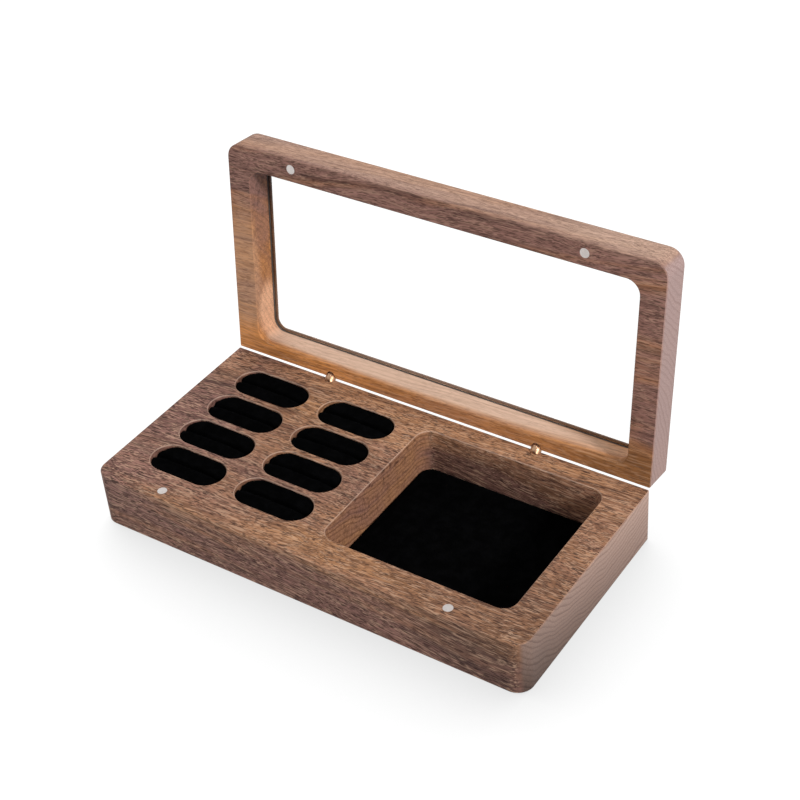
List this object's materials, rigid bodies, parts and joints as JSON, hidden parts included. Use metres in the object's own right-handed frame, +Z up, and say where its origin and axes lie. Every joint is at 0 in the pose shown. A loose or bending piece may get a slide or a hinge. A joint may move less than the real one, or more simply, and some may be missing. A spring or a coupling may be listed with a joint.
{
  "type": "ring display box",
  "caption": "Walnut ring display box with a hinged glass-windowed lid, padded ring slots and a lined open tray.",
  "frame": {"origin": "centre of the base's flat underside", "axes": "+X along the length towards the tray end, +Y to the hinges at the back, +Z up out of the base"},
  "size_m": [0.2, 0.1228, 0.122],
  "materials": {
    "walnut": "oiled, satin, open grain along X",
    "velvet": "short black velvet pile",
    "pane": "clear, polished",
    "hinge_brass": "turned and polished",
    "magnet_nickel": "nickel plated, satin"
  },
  "bodies": {
    "base": {"base_block": "walnut", "tray_liner": "velvet", "ring_pad_1": "velvet", "ring_pad_2": "velvet", "ring_pad_3": "velvet", "ring_pad_4": "velvet", "ring_pad_5": "velvet", "ring_pad_6": "velvet", "ring_pad_7": "velvet", "ring_pad_8": "velvet", "base_magnet_left": "magnet_nickel", "base_magnet_right": "magnet_nickel", "hinge_fork_left": "hinge_brass", "hinge_fork_right": "hinge_brass", "hinge_pin_left": "hinge_brass", "hinge_pin_right": "hinge_brass"},
    "lid": {"lid_frame": "walnut", "glass_pane": "pane", "lid_magnet_left": "magnet_nickel", "lid_magnet_right": "magnet_nickel", "hinge_tongue_left": "hinge_brass", "hinge_tongue_right": "hinge_brass"}
  },
  "joints": [
    {"name": "lid_hinge", "type": "hinge", "parent": "base", "child": "lid", "pos_m": [0, 0.0491, 0.025], "axis": [-1, 0, 0], "range_deg": [-96.2, 0]}
  ]
}
